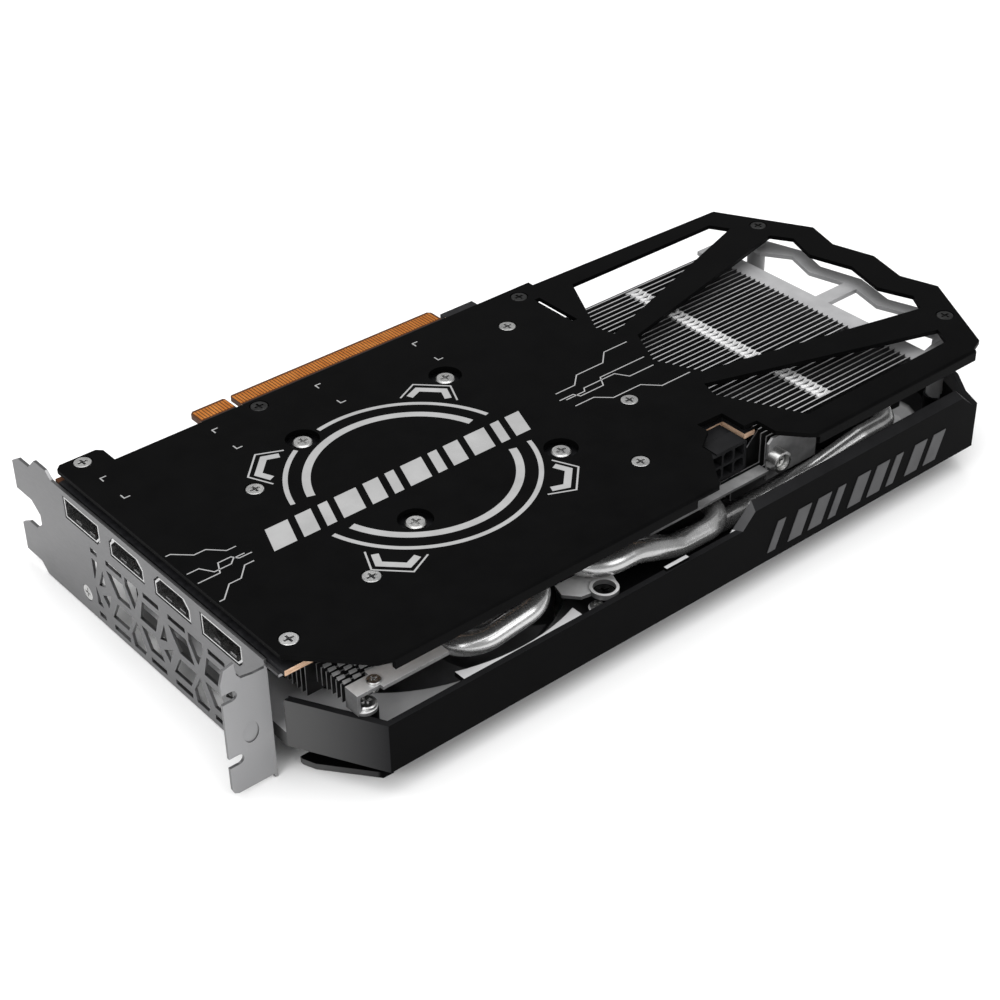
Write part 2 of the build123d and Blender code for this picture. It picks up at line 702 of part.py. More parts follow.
def make_fin_band():
    """Folded collars that fill the gaps between fins over the tail's heat pipe."""
    collars = []
    for index in range(int((FIN_Y[1] + 6) / FIN_PITCH)):
        low = -6 + index * FIN_PITCH + FIN_THICK / 2
        high = low + FIN_PITCH - FIN_THICK
        section = [(low, 35.1), (high, 35.1), (high, 35.45), (low, 36.0)]
        collars.append(end_prism(section, *BAND_X))
    return group(collars)


def make_cold_plate():
    """Copper cold plate with four threaded screw holes."""
    top = PCB_BOTTOM - SUBSTRATE_THICK - DIE_THICK
    plate = block(COLD_X, COLD_Y, (COLD_BOTTOM, top))
    plate = chamfer(plate.edges().filter_by(Axis.Z), 3.0) + block(*COLD_LIP)
    for x, y in spring_points():
        plate -= rod(x, y, COLD_BOTTOM + 0.5, top + 1, 1.55)
    return plate


def make_frame_near():
    """Folded strip over the foremost fins at the bracket end, with a low foot."""
    low, high = STRIP_Z
    strip = block((14.0, 21.0), (-17.4, -12.5), STRIP_Z)
    strip += block((20.9, 41.0), (-18.5, -11.2), STRIP_Z)
    strip += block((14.0, 14.9), (-17.4, -12.5), (NEAR_FOOT_Z[0], high))
    foot = block((14.0, 20.2), (-18.9, -12.9), NEAR_FOOT_Z)
    strip += fillet(foot.edges().filter_by(Axis.Z).sort_by(Axis.Y)[:2], 2.9)
    strip -= rod(*NEAR_FOOT, NEAR_FOOT_Z[0] - 1, NEAR_FOOT_Z[1] + 1, 1.6)
    return strip - rod(*NEAR_STRIP_SCREW, low - 1, high + 1, 1.15)


def make_frame_mid():
    """Shaped plate between the pipe bends, with one large screw eye."""
    low, high = MID_PLATE_Z
    outline = [
        (82.5, -9.8), (81.3, -13.9), (84.6, -17.7), (88.1, -18.3), (88.6, -20.0),
        (95.0, -20.8), (96.8, -16.5), (94.2, -9.8),
    ]
    plate = prism(outline, *MID_PLATE_Z)
    plate += rod(*MID_EYE, low, high + 0.5, MID_EYE_R[1])
    plate -= rod(*MID_EYE, low - 1, high + 1, MID_EYE_R[0])
    return plate - prism([(90.6, -12.2), (92.8, -12.2), (92.8, -13.9)], low - 1, high + 1)


def make_frame_tail():
    """Side plate of the tail fins, with a flat rail under the power socket."""
    outline = [
        (156.2, 24.6), (156.2, 36.2), (157.8, 37.6), (170.0, 37.6), (175.5, 33.0), (175.5, 24.6),
    ]
    plate = side_prism(outline, *TAIL_FRAME_Y)
    return plate + block((112.0, 156.4), (-14.2, -10.5), (27.2, 28.0))


def make_frame_screws():
    """Screws of the cooler frames, with the collar of the tail's large screw."""
    near_foot = screw(*NEAR_FOOT, NEAR_FOOT_Z[1] + 1.1, 2.6, 1.1, 1.5, DECK_Z[1] + 0.6)
    near_top = screw(*NEAR_STRIP_SCREW, STRIP_Z[1] + 0.7, 1.9, 0.7, 1.0, 26.4)
    mid_foot = screw(*MID_FOOT, 21.2, 1.9, 1.0, 1.25, DECK_Z[1] + 0.6)
    turn = Pos(TAIL_SCREW[0], 0, TAIL_SCREW[1]) * Rot(90, 0, 0)
    face = -TAIL_FRAME_Y[0]
    tail = turn * screw(0, 0, face + 2.2, 2.3, 1.4, 1.25, face + 0.05)
    collar = turn * (rod(0, 0, face, face + 3.5, 3.2) - rod(0, 0, face - 1, face + 4, 2.4))
    return group([near_foot, near_top, mid_foot, tail, collar])


def make_frame_eye_screw():
    """Dark screw in the eye of the middle frame."""
    return screw(*MID_EYE, 22.5, 2.7, 1.1, 1.4, DECK_Z[1] + 0.6)


# ---- shroud -------------------------------------------------------------------------------------


def shroud_outline():
    """Plan of the shroud's outer walls."""
    near = [(NEAR_WALL_X, NEAR_WALL_Y), (8.0, -7.6), (17.3, SHROUD_FRONT)]
    tail = [(232.4, SHROUD_FRONT), (244.8, 4.0), (244.8, 14.0)]
    return near + tail + mirrored(near + tail)


def shroud_solid(inset, bottom, top):
    """Outer form of the shroud, drawn in by inset, with its chamfered underside."""
    face = Polygon(*shroud_outline(), align=None)
    if inset:
        face = offset(face, -inset, kind=Kind.INTERSECTION)
    upper = extrude(Pos(0, 0, SHROUD_EDGE_Z) * face, top - SHROUD_EDGE_Z, dir=(0, 0, 1))
    depth = SHROUD_EDGE_Z - bottom
    lower = extrude(Pos(0, 0, SHROUD_EDGE_Z) * face, depth, dir=(0, 0, -1), taper=45)
    return upper + lower


def raised_panel():
    """Raised part of the front wall, bevelled along its top and both ends."""
    face_points = [
        (134.0, RAISED_LOW), (140.3, RAISED_TOP), (225.4, RAISED_TOP), (232.4, RAISED_LOW),
    ]
    crest_points = [
        (132.5, RAISED_LOW), (141.2, RAISED_CREST), (224.5, RAISED_CREST), (233.4, RAISED_LOW),
    ]
    face = Plane.XZ.offset(-SHROUD_FRONT) * Polygon(*face_points, align=None)
    crest = Plane.XZ.offset(-SHROUD_FRONT - RAISED_BEVEL) * Polygon(*crest_points, align=None)
    return loft([face, crest])


def tail_wrap():
    """Raised wall round the tail's front corner, which climbs away from the front."""
    face = Polygon(*shroud_outline(), align=None)
    ring = face - offset(face, -SHROUD_WALL, kind=Kind.INTERSECTION)
    height = WRAP_TOP - RAISED_LOW
    wall = extrude(Pos(0, 0, RAISED_LOW) * ring, height, dir=(0, 0, 1))
    slope = [
        (SHROUD_FRONT + RAISED_BEVEL, RAISED_LOW), (-13.3, WRAP_TOP), (WRAP_END_Y, WRAP_TOP),
        (WRAP_END_Y, RAISED_LOW),
    ]
    return wall & end_prism(slope, 228.0, 246.0)


def near_ears():
    """Flat ears of the floor beyond its chamfer, at both corners of the bracket end."""
    outline = [
        (8.0, 0.5), (7.9, -0.6), (9.3, -4.2), (19.9, -17.6), (23.0, -17.8), (23.0, 0.5),
    ]
    return prism(outline, 0, SHROUD_WALL) + prism(mirrored(outline), 0, SHROUD_WALL)


def wall_ledges():
    """Ledges inside the front wall, cut back round the fans, and a small rail."""
    rail_y = (SHROUD_FRONT + 0.6, SHROUD_FRONT + SHROUD_WALL)
    pieces = [block(RAIL_X, rail_y, (SHROUD_TOP - 0.5, SHROUD_TOP + 0.9))]
    for x in FAN_X:
        ledge = block((x - LEDGE_HALF, x + LEDGE_HALF), (SHROUD_FRONT + 1, LEDGE_BACK), LEDGE_Z)
        pieces.append(ledge - rod(x, MID_Y, LEDGE_Z[0] - 1, LEDGE_Z[1] + 1, LEDGE_ARC_R))
    return pieces


def duct_rings():
    """Rings round the two fans, from the floor of the shroud to its deck."""
    rings = []
    for x in FAN_X:
        ring = rod(x, MID_Y, 1.0, DECK_Z[1], FAN_DUCT_R + 1.4)
        rings.append(ring)
    return rings


def deck():
    """Flat deck inside the shroud, level with the top of the fan ducts."""
    face = offset(Polygon(*shroud_outline(), align=None), -1.0, kind=Kind.INTERSECTION)
    slab = extrude(Pos(0, 0, DECK_Z[0]) * face, DECK_Z[1] - DECK_Z[0], dir=(0, 0, 1))
    return slab & block((0, DECK_END_X), (-50, 150), (0, CARD_TOP))


def shroud_posts():
    """Bosses under the frames' feet and under the two posts of the tail frame."""
    posts = []
    for place, top, radius, hole in BOSSES:
        post = rod(*place, DECK_Z[1] - 0.5, top, radius)
        posts.append(post - rod(*place, DECK_Z[1] + 0.5, top + 1, hole))
    outside = shroud_solid(0, 0, SHROUD_TOP)
    for x, y in TAIL_SCREWS:
        posts.append(rod(x, y, SHROUD_WALL / 2, TAIL_BOSS_Z, TAIL_BOSS_R) & outside)
    return posts


def make_shroud():
    """Plastic shroud with two fan openings."""
    body = shroud_solid(0, 0, SHROUD_TOP)
    body -= shroud_solid(SHROUD_WALL, SHROUD_WALL, SHROUD_TOP + 5)
    rear_cut = [(232.0, SHROUD_TOP + 1), (246.0, SHROUD_TOP + 1), (246.0, 14.0), (239.0, 14.0)]
    body -= side_prism(rear_cut, WRAP_END_Y, 2 * MID_Y - WRAP_END_Y)
    near_wall = (NEAR_WALL_Y, 2 * MID_Y - NEAR_WALL_Y)
    body -= block((0, NEAR_WALL_X + SHROUD_WALL), near_wall, (DECK_Z[1], SHROUD_TOP + 1))
    body += raised_panel() + tail_wrap() + near_ears() + deck()
    for piece in wall_ledges():
        body += piece
    for ring in duct_rings():
        body += ring
    for x in FAN_X:
        body -= rod(x, MID_Y, -1, DECK_Z[1] + 1, FAN_DUCT_R)
    for post in shroud_posts():
        body += post
    for x, y in TAIL_SCREWS:
        body -= rod(x, y, TAIL_BOSS_Z, CARD_TOP, TAIL_POST_R + 0.1)
    return body


def tail_post(x, y):
    """Post from the shroud's tail boss to the backplate, with a blind screw hole."""
    post = rod(x, y, TAIL_BOSS_Z, PLATE_BOTTOM, TAIL_POST_R)
    return post - rod(x, y, 34.9, PLATE_BOTTOM + 1, 1.35)


def make_tail_frame():
    """Frame at the tail: crossbar, wavy rim, middle bar, corner arms and posts."""
    low, high = TAIL_PLATE_Z
    crossbar = block((221.0, 227.6), (-13.0, 2 * MID_Y + 13.0), (low, high))
    rim_out = wave(242.6, 246.0)
    rim_in = wave(237.4, 241.0)
    front = [(238.5, -7.0), (234.5, -13.0), (227.0, -13.0), (227.0, -7.6), (232.0, -6.5)]
    rear = mirrored(front)
    rim = prism(rim_loop(rim_in, rim_out), low, high)
    frame = crossbar + rim
    frame += block((227.0, 243.0), (MID_Y - 3.2, MID_Y + 2.0), (low, high))
    frame += prism(front, low, high) + prism(rear, low, high)
    for x, y in TAIL_SCREWS:
        frame += tail_post(x, y)
    return frame


def rim_loop(inner, outer):
    """Closed outline of the wavy rim, carried out to the two posts."""
    near_out = [(241.9, -5.0)]
    near_in = [(235.3, 0.4), (236.6, -5.0)]
    far_out = mirrored(near_out)
    far_in = mirrored(near_in)
    return near_out + outer + far_out + far_in + inner[::-1] + near_in


def make_side_accents():
    """Row of raised slanted bars on the raised panel."""
    bars = []
    for index in range(9):
        x = 146.0 + index * 8.0
        width = 5.2 if index % 3 else 3.0
        outline = [(x, 11.0), (x + width, 11.0), (x + width + 3.6, 20.0), (x + 3.6, 20.0)]
        bars.append(side_prism(outline, FRONT_Y, SHROUD_FRONT))
    return group(bars)


# ---- fans -----------------------------------------------------------------------------------------


def blade_section(radius, turn, chord, pitch):
    """Cross-section of a blade at one radius."""
    angle = radians(turn)
    place = Plane(
        origin=(radius * cos(angle), radius * sin(angle), BLADE_MID_Z),
        x_dir=(-sin(angle), cos(angle), 0),
        z_dir=(cos(angle), sin(angle), 0),
    )
    return place * Rot(0, 0, pitch) * Rectangle(chord, BLADE_THICK)


def fan_blade():
    """One swept and twisted blade."""
    return loft(
        [
            blade_section(17.1, 0, 11.0, 38),
            blade_section(31.0, 8, 18.5, 26),
            blade_section(BLADE_TIP_R - 1.6, 20, 24.0, 19),
        ]
    )


def make_rotor(x):
    """Fan hub with its blades."""
    hub = rod(0, 0, *HUB_Z, HUB_R)
    hub = fillet(hub.faces().sort_by(Axis.Z)[0].edges(), 1.6)
    blade = fan_blade()
    for index in range(BLADES):
        hub += Rot(0, 0, index * 360 / BLADES) * blade
    hub -= rod(0, 0, HUB_Z[0] + 1.6, HUB_Z[1] + 1, HUB_R - HUB_WALL)
    hub += rod(0, 0, HUB_Z[0] + 1.5, HUB_Z[0] + 3.2, 3.2)
    hub -= rod(0, 0, HUB_Z[0] + 1.6, HUB_Z[1] + 1, SHAFT_R)
    return Pos(x, MID_Y, 0) * hub


def make_shaft(x):
    """Steel shaft fixed in the hub."""
    return rod(x, MID_Y, HUB_Z[0] + 1.6, BASE_Z[0] - 0.3, SHAFT_R)


def make_hub_cap(x):
    """Plain disc with a ring groove on the face of the hub."""
    low = HUB_Z[0] - 0.5
    cap = rod(x, MID_Y, low, HUB_Z[0], 14.5)
    groove = rod(x, MID_Y, low - 1, low + 0.2, 12.0) - rod(x, MID_Y, low - 1, low + 0.2, 11.2)
    return cap - groove


def make_fan_base(x):
    """Motor base with its bearing tube and three struts out to the duct."""
    base = rod(x, MID_Y, *BASE_Z, BASE_R)
    for index in range(3):
        strut = block((BASE_R - 3, FAN_DUCT_R - 0.05), (-2.2, 2.2), BASE_Z)
        base += Pos(x, MID_Y, 0) * Rot(0, 0, 90 + index * 120) * strut
    base += rod(x, MID_Y, TUBE_LOW, BASE_Z[0] + 0.5, TUBE_R)
    return base - rod(x, MID_Y, TUBE_LOW - 1, BASE_Z[0], BEARING_R)


def make_bearing(x):
    """Sleeve bearing in which the shaft turns."""
    sleeve = rod(x, MID_Y, TUBE_LOW, BASE_Z[0], BEARING_R)
    return sleeve - rod(x, MID_Y, TUBE_LOW - 1, BASE_Z[0] + 1, SHAFT_R + SHAFT_CLEARANCE)


def make_stator(x):
    """Wound stator with eight poles on the bearing tube."""
    core = rod(0, 0, *STATOR_Z, 6.5)
    for index in range(8):
        turn = Rot(0, 0, index * 45)
        core += turn * block((5, STATOR_R - 1), (-1.4, 1.4), STATOR_Z)
        core += turn * block((STATOR_R - 2, STATOR_R), (-3.4, 3.4), STATOR_Z)
    return Pos(x, MID_Y, 0) * (core - rod(0, 0, STATOR_Z[0] - 1, STATOR_Z[1] + 1, TUBE_R))


def build_all():
    """Build every node."""
    nodes["io_bracket"] = make_io_bracket()
    nodes["bracket_screw"] = make_bracket_screw()
    for name in PORTS:
        nodes[name + "_shell"] = make_port_shell(name)
        nodes[name + "_tongue"] = make_port_tongue(name)
    nodes["pcb"] = make_pcb()
    nodes["edge_contacts"] = make_edge_contacts()
    nodes["gpu_substrate"] = make_gpu_substrate()
    nodes["gpu_die"] = make_gpu_die()
    nodes["memory_chips"] = make_memory_chips()
    nodes["thermal_pads"] = make_thermal_pads()
    nodes["inductors"] = make_inductors()
    nodes["mosfets"] = make_mosfets()
    nodes["capacitors"] = make_capacitors()
    nodes["fan_header"] = make_fan_header()
    nodes["power_connector"] = make_power_connector()
    nodes["power_pins"] = make_power_pins()
    nodes["backplate"] = make_backplate()
    nodes["backplate_screws_silver"] = plate_screws(SILVER_SCREWS, PCB_BOTTOM - 0.8)
    nodes["backplate_screws_dark"] = plate_screws(DARK_SCREWS, 36.0)
    nodes["tail_screws"] = plate_screws(TAIL_SCREWS, 35.2)
    nodes["standoffs"] = make_standoffs()
    nodes["gpu_spring_screws"] = make_gpu_spring_screws()
    nodes["gpu_springs"] = make_gpu_springs()
    for name, (bend, points) in pipe_routes().items():
        nodes[name] = make_heat_pipe(bend, points)
    nodes["fin_stack"] = make_fin_stack()
    nodes["fin_band"] = make_fin_band()
    nodes["cold_plate"] = make_cold_plate()
    nodes["frame_near"] = make_frame_near()
    nodes["frame_mid"] = make_frame_mid()
    nodes["frame_tail"] = make_frame_tail()
    nodes["frame_screws"] = make_frame_screws()
    nodes["frame_eye_screw"] = make_frame_eye_screw()
    nodes["shroud"] = make_shroud()
    nodes["tail_frame"] = make_tail_frame()
    nodes["side_accents"] = make_side_accents()
    for number, x in enumerate(FAN_X, start=1):
        fan = "fan_" + str(number)
        nodes[fan + "_base"] = make_fan_base(x)
        nodes[fan + "_bearing"] = make_bearing(x)
        nodes[fan + "_stator"] = make_stator(x)
        nodes[fan + "_rotor"] = make_rotor(x)
        nodes[fan + "_shaft"] = make_shaft(x)
        nodes[fan + "_cap"] = make_hub_cap(x)


build_all()
os.makedirs("parts", exist_ok=True)
to_origin = Pos(-(FLANGE_X + CARD_END) / 2, -(FRONT_Y + BRACKET_END_Y) / 2, 0)
for name, shape in nodes.items():
    export_step(to_origin * shape, os.path.join("parts", name + ".step"))
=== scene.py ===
"""Looks of the graphics card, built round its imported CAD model.

Lengths in this script are millimetres in the card's working axes: X from the
outer face of the I/O bracket, Y from the outer face of the bracket's screw
flange, Z from the fan side. The function at() turns them into the row frame.
"""
import json
import math
import random

import bmesh
import bpy
from mathutils import Euler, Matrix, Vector


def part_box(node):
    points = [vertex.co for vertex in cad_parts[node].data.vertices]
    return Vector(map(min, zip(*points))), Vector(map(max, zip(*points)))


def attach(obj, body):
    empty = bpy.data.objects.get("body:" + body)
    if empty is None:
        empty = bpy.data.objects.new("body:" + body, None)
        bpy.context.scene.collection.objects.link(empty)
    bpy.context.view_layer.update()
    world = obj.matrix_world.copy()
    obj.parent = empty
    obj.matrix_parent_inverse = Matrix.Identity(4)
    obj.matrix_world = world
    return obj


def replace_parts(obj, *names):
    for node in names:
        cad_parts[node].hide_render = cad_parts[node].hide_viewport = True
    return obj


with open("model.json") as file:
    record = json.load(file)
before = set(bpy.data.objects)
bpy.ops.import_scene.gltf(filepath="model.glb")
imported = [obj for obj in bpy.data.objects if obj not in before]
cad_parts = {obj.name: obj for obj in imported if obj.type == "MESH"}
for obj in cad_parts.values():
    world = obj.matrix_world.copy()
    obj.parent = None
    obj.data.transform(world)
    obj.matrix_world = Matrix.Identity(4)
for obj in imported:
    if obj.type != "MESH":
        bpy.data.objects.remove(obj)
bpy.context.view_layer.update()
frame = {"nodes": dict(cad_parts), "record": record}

MM = 0.001

# ---- sizes and places on the card ---------------------------------------------

FLANGE_REACH = 12.2       # free edge of the bracket's flange, before its outer face
FRONT_REACH = 25.0        # foremost face of the card, before the flange
MID_Y = 33.3              # mirror line of the tail and of the fans
FAN_X = (61.0, 165.0)
GPU = (83.65, 41.6)       # centre of the graphics chip
SPRING_HALF = 24.65       # half the square of the four spring screws
SPRING_HOLE_R = 4.75      # hole in the backplate over each spring screw
SILVER_SCREWS = [
    (8.6, 96.0), (36.0, 55.3), (36.2, 5.3), (6.8, -1.3),
    (139.2, 75.7), (138.5, 22.7), (120.0, -1.5),
]
SCREW_SINK = 0.1          # head of a screw, below the top of the backplate
SCREW_RECESS = 0.48       # depth of the cross in a screw's head
PORTS = ("displayport_1", "hdmi_1", "hdmi_2", "displayport_2")
PORT_WALL = 0.45
FIN_TOP = 28.1            # top of the fins under the circuit board
SHROUD_TOP = 22.95        # flat upper edge of the shroud
SHROUD_INNER_Y = -23.0    # inner face of the shroud's front wall

# ---- print on the backplate -----------------------------------------------------

PRINT_CENTRE = (71.7, 34.0)
PRINT_LIFT = (0.002, 0.03)               # bottom and top of the print, over the plate
RINGS = [(33.6, 1.35), (28.1, 2.3)]      # radius and width
RING_BREAK = 8.75         # the rings stop this far from their middle line
HOLE_MARGIN = 0.8         # free space round a screw hole that cuts a ring
BAR_WIDTHS = (7.0, 5.0, 3.0, 7.0, 5.0, 3.0, 7.0, 3.0, 5.0, 7.0, 3.0, 5.0)
BAR_GAP = 2.2

# ---- camera, in the working axes --------------------------------------------------

CAMERA_AT = (-194.69, -325.73, 345.14)
CAMERA_TURN = (54.942, 0.892, -40.037)
CAMERA_LENS = 74.156
SENSOR = 36.0

# Origin of the working axes in the row frame, in metres.
START = Vector((
    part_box("io_bracket")[0].x + FLANGE_REACH * MM,
    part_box("side_accents")[0].y + FRONT_REACH * MM,
    0.0,
))


def at(x, y, z):
    """Point of the row frame, in metres."""
    return START + Vector((x, y, z)) * MM


def corners(node):
    """Lowest and highest corner of a CAD node, in the working axes."""
    return [(corner - START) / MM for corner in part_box(node)]


# ---- node materials --------------------------------------------------------------

WHOLE = (0.0, 1.0)
NOISE_SPAN = (0.3, 0.7)   # most values of a noise texture lie in it


def grey(level):
    """Neutral colour."""
    return (level, level, level)


class Finish:
    """A Principled material whose parts are added one by one."""

    def __init__(self, name, metallic=0.0, specular=0.5):
        self.name = name
        self.material = bpy.data.materials.new(name)
        self.material.use_nodes = True
        self.tree = self.material.node_tree
        self.shader = self.tree.nodes["Principled BSDF"]
        self.shader.inputs["Metallic"].default_value = metallic
        self.shader.inputs["Specular IOR Level"].default_value = specular
        self.place = self.tree.nodes.new("ShaderNodeTexCoord").outputs["Object"]
        self.normal = None

    def node(self, kind, **settings):
        """New node with the given properties."""
        made = self.tree.nodes.new(kind)
        for name, value in settings.items():
            setattr(made, name, value)
        return made

    def link(self, source, target):
        """Join two sockets."""
        self.tree.links.new(source, target)

    def noise(self, size, stretch=(1, 1, 1), detail=4.0):
        """Noise whose grains are about size millimetres across, drawn out by stretch."""
        mapping = self.node("ShaderNodeMapping")
        mapping.inputs["Scale"].default_value = [1 / (size * MM * part) for part in stretch]
        self.link(self.place, mapping.inputs["Vector"])
        noise = self.node("ShaderNodeTexNoise")
        noise.inputs["Scale"].default_value = 1.0
        noise.inputs["Detail"].default_value = detail
        noise.inputs["Roughness"].default_value = 0.55
        self.link(mapping.outputs["Vector"], noise.inputs["Vector"])
        return noise.outputs["Fac"]

    def shades(self, source, dark, light, span=NOISE_SPAN):
        """Colours from dark to light over a span of a value."""
        ramp = self.node("ShaderNodeValToRGB")
        for element, place, colour in zip(ramp.color_ramp.elements, span, (dark, light)):
            element.position = place
            element.color = (*colour, 1.0)
        self.link(source, ramp.inputs["Fac"])
        return ramp.outputs["Color"]

    def carried(self, source, span, result=WHOLE):
        """A value carried from one range to another."""
        scale = self.node("ShaderNodeMapRange")
        scale.inputs["From Min"].default_value = span[0]
        scale.inputs["From Max"].default_value = span[1]
        scale.inputs["To Min"].default_value = result[0]
        scale.inputs["To Max"].default_value = result[1]
        self.link(source, scale.inputs["Value"])
        return scale.outputs["Result"]

    def mix(self, factor, low, high):
        """Mix of two colours."""
        mix = self.node("ShaderNodeMix", data_type="RGBA")
        self.link(factor, mix.inputs["Factor"])
        self.link(low, mix.inputs["A"])
        self.link(high, mix.inputs["B"])
        return mix.outputs["Result"]

    def times(self, first, second):
        """Product of two values."""
        product = self.node("ShaderNodeMath", operation="MULTIPLY")
        self.link(first, product.inputs[0])
        self.link(second, product.inputs[1])
        return product.outputs["Value"]

    def facing(self, axis, low, high):
        """0 to 1 as the surface turns to face an axis."""
        geometry = self.node("ShaderNodeNewGeometry")
        parts = self.node("ShaderNodeSeparateXYZ")
        self.link(geometry.outputs["True Normal"], parts.inputs["Vector"])
        return self.carried(parts.outputs[axis], (low, high))

    def along(self, axis, low, high):
        """0 to 1 between two places along a working axis."""
        offset = START["XYZ".index(axis)]
        parts = self.node("ShaderNodeSeparateXYZ")
        self.link(self.place, parts.inputs["Vector"])
        return self.carried(parts.outputs[axis], (offset + low * MM, offset + high * MM))

    def colour(self, source):
        """Set the base colour."""
        self.link(source, self.shader.inputs["Base Color"])

    def rough(self, source, result, span=NOISE_SPAN):
        """Set the roughness to a range of values that follow a noise."""
        self.link(self.carried(source, span, result), self.shader.inputs["Roughness"])

    def bevel(self, radius):
        """Round the look of sharp edges."""
        bevel = self.node("ShaderNodeBevel", samples=4)
        bevel.inputs["Radius"].default_value = radius * MM
        self.normal = bevel.outputs["Normal"]
        self.link(self.normal, self.shader.inputs["Normal"])

    def bump(self, source, depth):
        """Bumps of the given depth in millimetres."""
        bump = self.node("ShaderNodeBump")
        bump.inputs["Strength"].default_value = 1.0
        bump.inputs["Distance"].default_value = depth * MM
        self.link(source, bump.inputs["Height"])
        if self.normal:
            self.link(self.normal, bump.inputs["Normal"])
        self.normal = bump.outputs["Normal"]
        self.link(self.normal, self.shader.inputs["Normal"])


def metal(
    name, dark, light, rough, grain=0.6, stretch=(1, 1, 1), depth=0.01, edge=0.12, metallic=1.0
):
    """Bare or plated metal with a grain, which stretch turns into brushing."""
    made = Finish(name, metallic=metallic)
    made.bevel(edge)
    broad = made.noise(grain * 12, detail=3.0)
    fine = made.noise(grain, stretch)
    made.colour(made.shades(broad, dark, light))
    made.rough(fine, rough)
    made.bump(fine, depth)
    return made


def plastic(name, dark, light, rough, specular=0.3, grain=0.25, depth=0.012, edge=0.2):
    """Moulded plastic with a fine texture and faint cloudiness."""
    made = Finish(name, specular=specular)
    made.bevel(edge)
    cloud = made.noise(9.0, detail=5.0)
    fine = made.noise(grain, detail=2.0)
    made.colour(made.shades(cloud, dark, light, (0.3, 0.72)))
    made.rough(cloud, rough)
    made.bump(fine, depth)
    return made


def board_finish():
    """Black solder mask on top, tan laminate on the cut edges and bare under the contacts."""
    made = Finish("board", specular=0.1)
    mask = made.noise(2.5, detail=6.0)
    weave = made.noise(0.3, (6, 1, 1))
    black = made.shades(mask, (0.008, 0.008, 0.009), (0.02, 0.02, 0.022), (0.3, 0.75))
    tan = made.shades(weave, (0.42, 0.25, 0.15), (0.72, 0.52, 0.38))
    bare = made.shades(weave, (0.06, 0.02, 0.006), (0.1, 0.036, 0.012))

    # The tab is bare from just before its contacts, up to the slot beside the hook.
    first_contact, last_contact = corners("edge_contacts")
    tab_y = first_contact.y - 0.6
    slot_x = last_contact.x + 1.2
    on_tab = made.along("Y", tab_y, tab_y + 0.2)
    before_hook = made.along("X", slot_x + 0.2, slot_x)
    surface = made.mix(made.times(on_tab, before_hook), black, bare)

    # The cut edges are tan, but black on the tab and beside the bracket.
    beside_bracket = made.times(made.facing("X", -0.5, -0.7), made.along("X", 4, 3))
    edge = made.mix(beside_bracket, tan, black)
    edge = made.mix(on_tab, edge, surface)
    top = made.facing("Z", 0.4, 0.6)
    under = made.facing("Z", -0.4, -0.6)
    made.colour(made.mix(top, made.mix(under, edge, surface), surface))
    made.rough(mask, (0.35, 0.5))
    made.bump(weave, 0.01)
    return made


def shroud_finish():
    """Black outside, with painted light: upward faces a little lighter, and lighter flat faces inside,
    at the near end and on the sloped face.
    """
    made = Finish("shroud_black", specular=0.015)
    made.bevel(0.35)
    cloud = made.noise(14.0, detail=5.0)
    fine = made.noise(0.22, detail=2.0)
    black = made.shades(cloud, (0.0016, 0.0016, 0.0017), (0.003, 0.003, 0.0032))
    # Painted light: upward faces outside are a lighter grey than the black; on the deck this grey is
    # its painted shade towards the tail.
    edge = made.shades(cloud, (0.01, 0.01, 0.0105), (0.016, 0.016, 0.017))
    # Painted light on the sloped faces that look towards the bracket.
    slope_painted_light = made.shades(cloud, (0.05, 0.05, 0.052), (0.075, 0.075, 0.077))
    # Painted light: pale grey for the lit faces inside the black shroud.
    pale = made.shades(cloud, (0.56, 0.56, 0.565), (0.7, 0.7, 0.71))
    # Painted light on the end wall that faces the bracket, lighter from its front edge backwards.
    near = made.shades(made.along("Y", -26, 2), (0.012, 0.012, 0.013), grey(0.1), WHOLE)

    # Inside, the colours are painted light and shade on the black plastic: the floor is dark up to the
    # tail and lit past it, the deck is lit near the bracket and darker towards the tail, and what lies
    # above the deck is pale.
    floor = made.mix(made.along("X", 200, 206), black, pale)
    deck = made.mix(made.along("X", 42, 92), pale, edge)
    inside = made.mix(made.along("Z", 4, 5), floor, deck)
    inside = made.mix(made.along("Z", 14, 15), inside, pale)

    # Painted light on faces that look up or towards the bracket, each in its own stretch of the
    # shroud.
    up = made.facing("Z", 0.5, 0.7)
    left = made.facing("X", -0.3, -0.5)
    near_end = made.times(left, made.along("X", 19.5, 19.0))
    past_slope = made.times(left, made.along("X", 129.0, 129.5))
    past_slope = made.times(past_slope, made.along("Z", 20.5, 21.0))
    sunk = made.times(up, made.along("Z", SHROUD_TOP - 0.01, SHROUD_TOP - 0.04))
    sunk = made.times(sunk, made.along("Y", SHROUD_INNER_Y - 0.05, SHROUD_INNER_Y + 0.05))
    rail = made.times(made.along("Z", 23.4, 23.5), made.along("X", 119, 118))

    shade = made.mix(up, black, edge)
    shade = made.mix(near_end, shade, near)
    shade = made.mix(past_slope, shade, slope_painted_light)
    shade = made.mix(sunk, shade, inside)
    made.colour(made.mix(made.times(up, rail), shade, inside))
    made.rough(cloud, (0.36, 0.5))
    made.bump(fine, 0.008)
    return made


def bracket_finish():
    """Plated sheet, brushed lengthwise, with painted light: the screw flange, which faces forward, is
    brighter.
    """
    made = Finish("bracket_metal", metallic=0.9)
    made.bevel(0.12)
    cloud = made.noise(30.0, detail=2.0)
    fine = made.noise(0.35, (1, 9, 1))
    plate = made.shades(cloud, (0.125, 0.125, 0.128), (0.15, 0.15, 0.153))
    # Painted reflection: the forward-facing flange is lighter, for the white floor it mirrors.
    flange = made.shades(cloud, (0.27, 0.27, 0.275), (0.33, 0.33, 0.335))
    made.colour(made.mix(made.facing("Y", -0.4, -0.6), plate, flange))
    made.rough(fine, (0.32, 0.4))
    made.bump(fine, 0.003)
    return made


